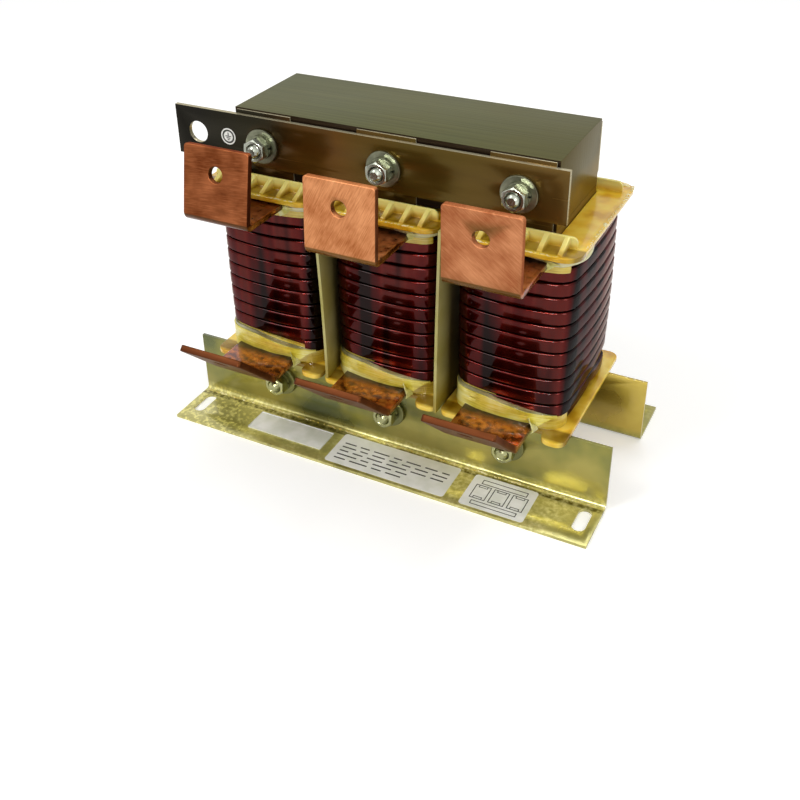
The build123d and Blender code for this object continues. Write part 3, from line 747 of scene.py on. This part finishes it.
for phase in phases:
    start, end = math.radians(tape["start"]), math.radians(tape["end"])
    filler = tapeBand("filler", phase, start, math.radians(tape["fillerEnd"]), lambda angle: lowest,
                      fillerTop, -6 * mm, -1.2 * mm, rows=2)
    finishPiece(filler, "lower_filler_" + phase, flapTape, ["lower_end_insulation_" + phase])
    dry = tapeBand("dry", phase, start, end, tapeFoot, lambda angle: max(tapeTop(angle), lowest + 1 * mm),
                   -1.1 * mm, 0.9 * mm, 0.3 * mm)
    finishPiece(dry, "lower_inner_tape_" + phase, innerTape)
    outer = tapeBand("outer", phase, start, end, tapeFoot, outerTop, 1.0 * mm, 1.0 * mm + tape["thickness"],
                     tape["wrinkle"], rows=9)
    finishPiece(outer, "lower_outer_tape_" + phase, outerTape)
    brokenEdges("upper_end_insulation_" + phase, flapTape, edgeWidths["flap"])
    start, end = math.radians(bulge["start"]), math.radians(bulge["end"])
    cornerBulge = tapeBand("bulge", phase, start, end, bulgeFoot, lambda angle: upperFrameBottom - 0.1 * mm,
                           -1 * mm, 0.6 * mm, bulge["wrinkle"], steps=60, rows=9, flare=bulge["flare"])
    finishPiece(cornerBulge, "upper_corner_filler_" + phase, creamFiller)


# Loose tape ends: points in millimetres from the terminal's right edge, the stack's middle and the frame
knots = (
    {"row": "upper", "points": ((-8, -70, -14), (1, -73, -9), (5, -71, -4), (12, -68, -1.5)),
     "halfWidth": 3.2 * mm, "tilts": (0, 50, 10, -30)},
    {"row": "upper", "points": ((-6, -71, -5), (3, -74, -6), (10, -70, -8)),
     "halfWidth": 2.6 * mm, "tilts": (70, 20, 60)},
    {"row": "lower", "points": ((-4, -72, 12), (2, -74.5, 6), (3, -73, 1)),
     "halfWidth": 4 * mm, "tilts": (20, 60, 110)},
)


# A loose ribbon of tape through its points, twisting as it goes
def twistedTape(knot, phase):
    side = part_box(knot["row"] + "_terminal_" + phase)[1].x
    root = Vector((side, stackY, upperFrameBottom if knot["row"] == "upper" else lowerFrameTop))
    curve = stripCurve("knot", knot["halfWidth"], 0.35 * mm, 1)
    line = curve.splines.new("BEZIER")
    line.bezier_points.add(len(knot["points"]) - 1)
    for point, spot, tilt in zip(line.bezier_points, knot["points"], knot["tilts"]):
        point.co = root + Vector(spot) * mm
        point.tilt = math.radians(tilt)
        point.handle_left_type = point.handle_right_type = "AUTO"
    return meshFromCurve(curve)


for phase in phases:
    loose = joinPieces([twistedTape(knot, phase) for knot in knots])
    finishPiece(loose, "tape_knots_" + phase, knotTape, smoothAngle=60)
print("insulation done")


# Clamping hardware, modelled once about the bolt's axis and copied to every bolt

hardware = {
    "nutAcross": 19 * mm, "nutHeight": 10 * mm, "boltDiameter": 12 * mm, "threadPitch": 1.75 * mm,
    "lockDiameter": 22 * mm, "lockThickness": 2.5 * mm, "flatDiameter": 32 * mm, "flatThickness": 3 * mm,
    "boltReach": 3 * mm, "headHeight": 7.5 * mm,
}


# Turns a closed profile, given as (radius, height) points, about the Z axis
def spunProfile(name, profile, steps=64, angle=2 * math.pi):
    mesh = bpy.data.meshes.new(name)
    mesh.from_pydata([(radius, 0, height) for radius, height in profile],
                     [(n, (n + 1) % len(profile)) for n in range(len(profile))], [])
    piece = newPiece(name, mesh)
    bpy.ops.object.mode_set(mode="EDIT")
    bpy.ops.mesh.select_all(action="SELECT")
    bpy.ops.mesh.spin(steps=steps, angle=angle, center=(0, 0, 0), axis=(0, 0, 1))
    bpy.ops.mesh.select_all(action="SELECT")
    bpy.ops.mesh.remove_doubles(threshold=0.01 * mm)
    bpy.ops.mesh.normals_make_consistent(inside=False)
    bpy.ops.object.mode_set(mode="OBJECT")
    return piece


# A flat ring with rounded rims; rings close to the rims keep its faces flat
def roundedRing(name, inner, outer, thickness, rim, steps=64, angle=2 * math.pi):
    face = rim * 1.3
    soft = rim * 0.3
    profile = [(inner, rim), (inner + rim, 0), (inner + face, 0), (outer - face, 0), (outer - rim, 0),
               (outer - soft, soft), (outer, rim), (outer, thickness - rim),
               (outer - soft, thickness - soft), (outer - rim, thickness), (outer - face, thickness),
               (inner + face, thickness), (inner + rim, thickness), (inner, thickness - rim)]
    return spunProfile(name, profile, steps, angle)


# A hexagon whose corners are cut by a turned chamfer, with a countersunk bore where it has one
def hexNut(height, across, bore, countersink):
    bpy.ops.object.select_all(action="DESELECT")
    cornerRadius = across / 2 / math.cos(math.pi / 6)
    bpy.ops.mesh.primitive_cylinder_add(vertices=6, radius=cornerRadius, depth=height,
                                        location=(0, 0, height / 2))
    block = bpy.context.active_object
    bpy.ops.object.transform_apply(location=True)
    flatEdge = across / 2 * 0.96
    fall = (cornerRadius - flatEdge) * 0.6
    profile = [(bore, countersink), (bore + countersink, 0), (flatEdge, 0), (cornerRadius, fall),
               (cornerRadius, height - fall), (flatEdge, height), (bore + countersink, height),
               (bore, height - countersink)]
    lens = spunProfile("lens", profile, 72)
    cut = block.modifiers.new("shape", "BOOLEAN")
    cut.operation = "INTERSECT"
    cut.solver = "EXACT"
    cut.object = lens
    selectOnly(block)
    bpy.ops.object.modifier_apply(modifier=cut.name)
    bpy.data.objects.remove(lens)
    return block


def threadedEnd(diameter, length, pitch, chamfer):
    depth = 0.54 * pitch
    profile = [(0.2 * mm, 0)]
    height = 0.0
    while height < length - chamfer - pitch:
        profile += [(diameter / 2 - depth, height), (diameter / 2, height + pitch * 0.4),
                    (diameter / 2, height + pitch * 0.55)]
        height += pitch
    profile += [(diameter / 2 - depth, length - chamfer), (diameter / 2 - depth - chamfer, length),
                (0.2 * mm, length)]
    return spunProfile("thread", profile, 40)


nutLow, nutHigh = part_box("clamp_nuts")
nutCorner = hardware["nutAcross"] / 2 / math.cos(math.pi / 6)
boltRows = ((barLow.y, nutHigh.z - nutCorner), (barLow.y + 1 * mm, nutLow.z + nutCorner))
faceFront = Matrix.Rotation(math.radians(90), 4, "X")  # turns +Z towards the front, -Y
faceBack = Matrix.Rotation(math.radians(-90), 4, "X")


def boltPlaces(lift, back=False):
    places = []
    for face, height in boltRows:
        depth = face - lift if not back else 2 * stackY - face + lift
        places += [Vector((limbX[phase], depth, height)) for phase in phases]
    return places


def spread(piece, lift, back=False):
    piece.data.transform(faceBack if back else faceFront)
    return copiesAt(piece, boltPlaces(lift, back))


flat = roundedRing("flat", hardware["boltDiameter"] / 2 + 0.3 * mm, hardware["flatDiameter"] / 2,
                   hardware["flatThickness"], 0.7 * mm)
flatRear = newPiece("flat_rear", flat.data.copy())
finishPiece(joinPieces(spread(flat, 0) + spread(flatRear, 0, back=True)), "flat_washers_finished",
            washerZinc, ["flat_washers"])
lock = roundedRing("lock", hardware["boltDiameter"] / 2 + 0.3 * mm, hardware["lockDiameter"] / 2,
                   hardware["lockThickness"], 0.3 * mm, 60, math.radians(351))
finishPiece(joinPieces(spread(lock, hardware["flatThickness"])), "lock_washers_finished",
            washerZinc, ["lock_washers"])
nut = hexNut(hardware["nutHeight"], hardware["nutAcross"], hardware["boltDiameter"] / 2, 1.2 * mm)
nutSeat = hardware["flatThickness"] + hardware["lockThickness"]
finishPiece(joinPieces(spread(nut, nutSeat)), "clamp_nuts_finished", nutZinc, ["clamp_nuts"],
            smoothAngle=14)
thread = threadedEnd(hardware["boltDiameter"] - 0.2 * mm, hardware["nutHeight"] + hardware["boltReach"],
                     hardware["threadPitch"], 1.4 * mm)
head = hexNut(hardware["headHeight"], hardware["nutAcross"], 0.5 * mm, 0.1 * mm)
finishPiece(joinPieces(spread(thread, nutSeat) + spread(head, hardware["flatThickness"], back=True)),
            "clamp_bolts_finished", nutZinc, ["clamp_bolts"], smoothAngle=14)
print("hardware done")


# Phase barriers, their front edges leaning over as they go down

barrier = {"cuts": 12, "leanTop": 1.0 * mm, "leanFoot": {"left": 6.4 * mm, "right": -2.4 * mm}}
for side in ("left", "right"):
    nodeName = "phase_barrier_" + side
    low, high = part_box(nodeName)
    piece = addBox(low, high)
    bpy.ops.object.mode_set(mode="EDIT")
    bpy.ops.mesh.select_all(action="SELECT")
    bpy.ops.mesh.subdivide(number_cuts=barrier["cuts"])
    bpy.ops.object.mode_set(mode="OBJECT")
    for vertex in piece.data.vertices:
        up = (vertex.co.z - low.z) / (high.z - low.z)
        deep = (vertex.co.y - low.y) / (high.y - low.y)
        lean = barrier["leanFoot"][side] * math.sin(math.pi / 2 * (1 - up)) + barrier["leanTop"] * up
        vertex.co.x += lean * max(1 - 1.6 * deep, 0)
    finishPiece(piece, nodeName + "_finished", barrierBoard, [nodeName])
print("barriers done")


# Labels on the front foot and the earth sign on the bar, all without words

label = {
    "lift": 0.2 * mm, "ink": 0.08 * mm,
    "plates": {
        "name": {"x": (-137.8 * mm, -54.6 * mm), "y": (-97.6 * mm, -70.0 * mm), "round": 1.0 * mm},
        "rating": {"x": (-44.2 * mm, 79.2 * mm), "y": (-108.2 * mm, -64.2 * mm), "round": 3.0 * mm},
        "sketch": {"x": (94.2 * mm, 155.4 * mm), "y": (-108.6 * mm, -64.6 * mm), "round": 3.0 * mm},
    },
}
footTop = footLow.z + 3 * mm


# A thin plate with rounded corners, lying level
def thinPlate(name, x, y, z, thickness, cornerRound):
    plate = addBox(Vector((x[0], y[0], z)), Vector((x[1], y[1], z + thickness)))
    bpy.ops.object.mode_set(mode="EDIT")
    bpy.ops.mesh.select_all(action="DESELECT")
    bpy.ops.object.mode_set(mode="OBJECT")
    for edge in plate.data.edges:
        first, second = (plate.data.vertices[n].co for n in edge.vertices)
        edge.select = abs(first.z - second.z) > thickness / 2
    bpy.ops.object.mode_set(mode="EDIT")
    bpy.ops.mesh.select_mode(type="EDGE")
    bpy.ops.mesh.bevel(offset=cornerRound, segments=6, affect="EDGES")
    bpy.ops.object.mode_set(mode="OBJECT")
    plate.name = name
    return plate


def labelPlace(name):
    plan = label["plates"][name]
    return plan["x"], [stackY + value for value in plan["y"]]


for name, plan in label["plates"].items():
    x, y = labelPlace(name)
    plate = thinPlate(name, x, y, footTop, label["lift"], plan["round"])
    finishPiece(plate, name + "_label", foil)


# A printed line between two points of a label, given as shares of its length and depth
def printedLine(name, start, end, width):
    x, y = labelPlace(name)
    half = width / 2
    acrossX = sorted(x[0] + (x[1] - x[0]) * share[0] for share in (start, end))
    acrossY = sorted(y[1] + (y[0] - y[1]) * share[1] for share in (start, end))
    return thinPlate("line", (acrossX[0] - half, acrossX[1] + half), (acrossY[0] - half, acrossY[1] + half),
                     footTop + label["lift"], label["ink"], half * 0.4)


def printedBox(name, left, right, top, bottom, width):
    corners = ((left, top), (right, top), (right, bottom), (left, bottom))
    return [printedLine(name, corners[n - 1], corners[n], width) for n in range(4)]


# Winding sketch: three coils side by side between two yokes
sketchLines = []
for number in range(3):
    left = 0.1 + 0.29 * number
    sketchLines += printedBox("sketch", left, left + 0.23, 0.3, 0.72, 0.8 * mm)
    sketchLines += printedBox("sketch", left + 0.05, left + 0.18, 0.3, 0.36, 0.7 * mm)
    sketchLines += printedBox("sketch", left + 0.05, left + 0.18, 0.66, 0.72, 0.7 * mm)
sketchLines += printedBox("sketch", 0.16, 0.86, 0.12, 0.24, 0.8 * mm)
sketchLines += printedBox("sketch", 0.16, 0.86, 0.8, 0.9, 0.8 * mm)
# Rating label: rows of short bars where a real one has its figures
for row in range(5):
    end = 0.06
    while end < 0.9:
        length = random.uniform(0.05, 0.16)
        if not (row > 2 and end > 0.62):
            level = 0.3 + 0.13 * row
            bar = printedLine("rating", (end, level), (min(end + length, 0.94), level), 1.5 * mm)
            sketchLines.append(bar)
        end += length + 0.05
finishPiece(joinPieces(sketchLines), "label_print", ink)

# Its bars are given as height above the middle, width and height
sign = {
    "x": -156.0 * mm, "z": 290.8 * mm, "radius": 7.6 * mm, "lift": 0.15 * mm,
    "bars": ((1.9 * mm, 0.8 * mm, 3.4 * mm), (0.2 * mm, 6.0 * mm, 0.8 * mm),
             (-1.4 * mm, 4.0 * mm, 0.8 * mm), (-3.0 * mm, 2.0 * mm, 0.8 * mm)),
}


# A flat ring or disc on the bar's front face
def signRing(inner, outer, lift):
    piece = spunProfile("ring", [(inner, 0), (outer, 0), (outer, lift), (inner, lift)], 48)
    piece.data.transform(faceFront)
    piece.location = (sign["x"], barLow.y, sign["z"])
    return piece


def signBar(z, width, height):
    centre = Vector((sign["x"], barLow.y - 1.25 * sign["lift"], sign["z"] + z))
    half = Vector((width, sign["lift"] * 2.5, height)) / 2
    return addBox(centre - half, centre + half)


paleSign = joinPieces([signRing(0.05 * mm, 0.62 * sign["radius"], 1.4 * sign["lift"]),
                       signRing(0.84 * sign["radius"], sign["radius"], 1.4 * sign["lift"])])
finishPiece(paleSign, "earth_sign_pale", foil)
darkSign = joinPieces([signRing(0.6 * sign["radius"], 0.86 * sign["radius"], sign["lift"])]
                      + [signBar(*bar) for bar in sign["bars"]])
finishPiece(darkSign, "earth_sign_dark", ink)
print("labels done")


# Set varnish: beads along the bracket's fold, the rear bracket's top edge and the frames' rims

beads = {
    "small": 0.3 * mm, "large": 1.0 * mm, "flatten": 0.6, "foldCount": 260, "rearCount": 150,
    "sideCount": 90, "frontCount": 70, "cornerCount": 40,
}


# Scatters drops about the points of a line; each drop is a squashed ball
def beadRow(start, end, count, spreadBy, largest=1.0):
    bpy.ops.object.select_all(action="DESELECT")
    bpy.ops.mesh.primitive_ico_sphere_add(subdivisions=2, radius=1)
    ball = bpy.context.active_object
    row = []
    for number in range(count):
        share = random.random()
        size = random.uniform(beads["small"], beads["large"] * largest)
        spot = start.lerp(end, share) + Vector([random.uniform(-1, 1) * s for s in spreadBy])
        drop = newPiece("drop", ball.data.copy())
        drop.scale = (size * random.uniform(0.8, 2.2), size, size * beads["flatten"])
        drop.location = spot
        row.append(drop)
    bpy.data.objects.remove(ball)
    return joinPieces(row)


foldY, foldZ = footHigh.y - 7.2 * mm, footTop + 0.3 * mm
rearY, rearZ = rearLow.y + 1.5 * mm, rearHigh.z - 0.2 * mm
rows = [beadRow(Vector((footLow.x + 4 * mm, foldY, foldZ)), Vector((footHigh.x - 4 * mm, foldY, foldZ)),
                beads["foldCount"], (0, 0.9 * mm, 0.2 * mm)),
        beadRow(Vector((rearLow.x + 3 * mm, rearY, rearZ)), Vector((rearHigh.x - 3 * mm, rearY, rearZ)),
                beads["rearCount"], (0, 1.0 * mm, 0.1 * mm))]
finishPiece(joinPieces(rows), "varnish_beads_brackets", drops)
for phase in phases:
    low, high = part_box("upper_end_frame_" + phase)
    top = upperFrameBottom + 4.3 * mm
    sideX, frontY = high.x - 1.2 * mm, low.y + 1.2 * mm
    side = beadRow(Vector((sideX, low.y + 24 * mm, top)), Vector((sideX, high.y - 4 * mm, top)),
                   beads["sideCount"], (0.8 * mm, 0, 0.2 * mm))
    front = beadRow(Vector((low.x + 18 * mm, frontY, top)), Vector((high.x - 18 * mm, frontY, top)),
                    beads["frontCount"], (0, 0.8 * mm, 0.2 * mm))
    corner = beadRow(Vector((high.x - 22 * mm, high.y - 4 * mm, top)),
                     Vector((high.x - 5 * mm, high.y - 8 * mm, top)), beads["cornerCount"],
                     (3 * mm, 3 * mm, 0.1 * mm), largest=1.4)
    finishPiece(joinPieces([side, front, corner]), "varnish_beads_" + phase, drops)
print("varnish beads done")


# Studio: pale floor, soft lamps, and the camera at the photograph's angle

studio = {
    "floorSize": 60.0, "floorColour": "f4f4f2", "worldLevel": 0.46,
    "lamps": (
        ("key", (-1.3, -1.6, 2.3), (1.3, 0.9), 38),
        ("fill", (1.9, -1.0, 1.5), (0.6, 1.2), 12),
        ("top", (0.3, 0.9, 2.2), (1.6, 0.8), 15),
        ("strip", (0.5, -2.2, 1.6), (1.3, 0.14), 50),
    ),
    "shineOnly": ("strip",),
}


# 1 where a ray is the camera's own, off a shiny face or through a clear one
def seenDirectly(add):
    rays = add("LightPath").node.outputs
    seen = add("Math", {0: rays["Is Camera Ray"], 1: rays["Is Glossy Ray"]}, operation="MAXIMUM")
    return add("Math", {0: seen, 1: rays["Is Transmission Ray"]}, operation="MAXIMUM")


# Pale matt floor that fades into plain white light far from the object
def floorMaterial():
    material, add, place = startMaterial("pale_floor")
    apart = add("VectorMath", {"Vector": place}, output="Value", operation="LENGTH")
    far = add("MapRange", {"Value": apart, "From Min": 0.9, "From Max": 3.0},
              interpolation_type="SMOOTHSTEP")
    level = add("MapRange", {"Value": far, "To Min": 0.3, "To Max": 1.0})
    glow = add("Math", {0: seenDirectly(add), 1: level}, operation="MULTIPLY")
    # black at the far end, where only its own light is left
    near = add("Mix", {0: far, 6: hexColour(studio["floorColour"]), 7: hexColour("000000")}, **colourMix)
    return dressed(material, {"Base Color": near, "Roughness": 0.9, "Specular IOR Level": 0.1,
                              "Emission Color": (1, 1, 1, 1), "Emission Strength": glow})


bpy.ops.object.select_all(action="DESELECT")
bpy.ops.mesh.primitive_plane_add(size=studio["floorSize"], location=(0, 0, 0))
floor = bpy.context.active_object
floor.name = "floor"
floor.data.materials.append(floorMaterial())

world = bpy.data.worlds.new("studio")
world.use_nodes = True
bpy.context.scene.world = world
add = functools.partial(addNode, world.node_tree)
strength = add("MapRange", {"Value": seenDirectly(add), "To Min": studio["worldLevel"], "To Max": 1.0})
setSockets(world.node_tree, world.node_tree.nodes["Background"],
           {"Color": (1, 1, 1, 1), "Strength": strength})

middle = Vector((0, stackY, 0.15))
for name, spot, size, power in studio["lamps"]:
    lamp = bpy.data.lights.new(name, "AREA")
    lamp.shape = "RECTANGLE"
    lamp.size, lamp.size_y = size
    lamp.energy = power
    holder = bpy.data.objects.new(name, lamp)
    bpy.context.scene.collection.objects.link(holder)
    holder.location = spot
    holder.visible_diffuse = name not in studio["shineOnly"]
    holder.rotation_euler = (middle - Vector(spot)).to_track_quat("-Z", "Y").to_euler()

view = {
    "place": (381.05 * mm, -774.76 * mm, 628.22 * mm),  # from the middle of the stack
    "azimuth": 28.415, "elevation": 30.0715, "roll": -1.4104,
    "focalPixels": 1051.78, "middlePixel": (379.86, 303.59), "imageSize": 800,
}
camera = bpy.data.cameras.new("camera")
camera.sensor_width = 36
camera.lens = view["focalPixels"] / view["imageSize"] * camera.sensor_width
camera.shift_x = 0.5 - view["middlePixel"][0] / view["imageSize"]
camera.shift_y = view["middlePixel"][1] / view["imageSize"] - 0.5
cameraHolder = bpy.data.objects.new("camera", camera)
bpy.context.scene.collection.objects.link(cameraHolder)
cameraHolder.matrix_world = (
    Matrix.Translation(Vector(view["place"]) + Vector((0, stackY, 0)))
    @ Matrix.Rotation(math.radians(view["azimuth"]), 4, "Z")
    @ Matrix.Rotation(math.radians(90 - view["elevation"]), 4, "X")
    @ Matrix.Rotation(math.radians(view["roll"]), 4, "Z")
)
bpy.context.scene.camera = cameraHolder
bpy.context.scene.view_settings.view_transform = "Standard"
print("studio done")
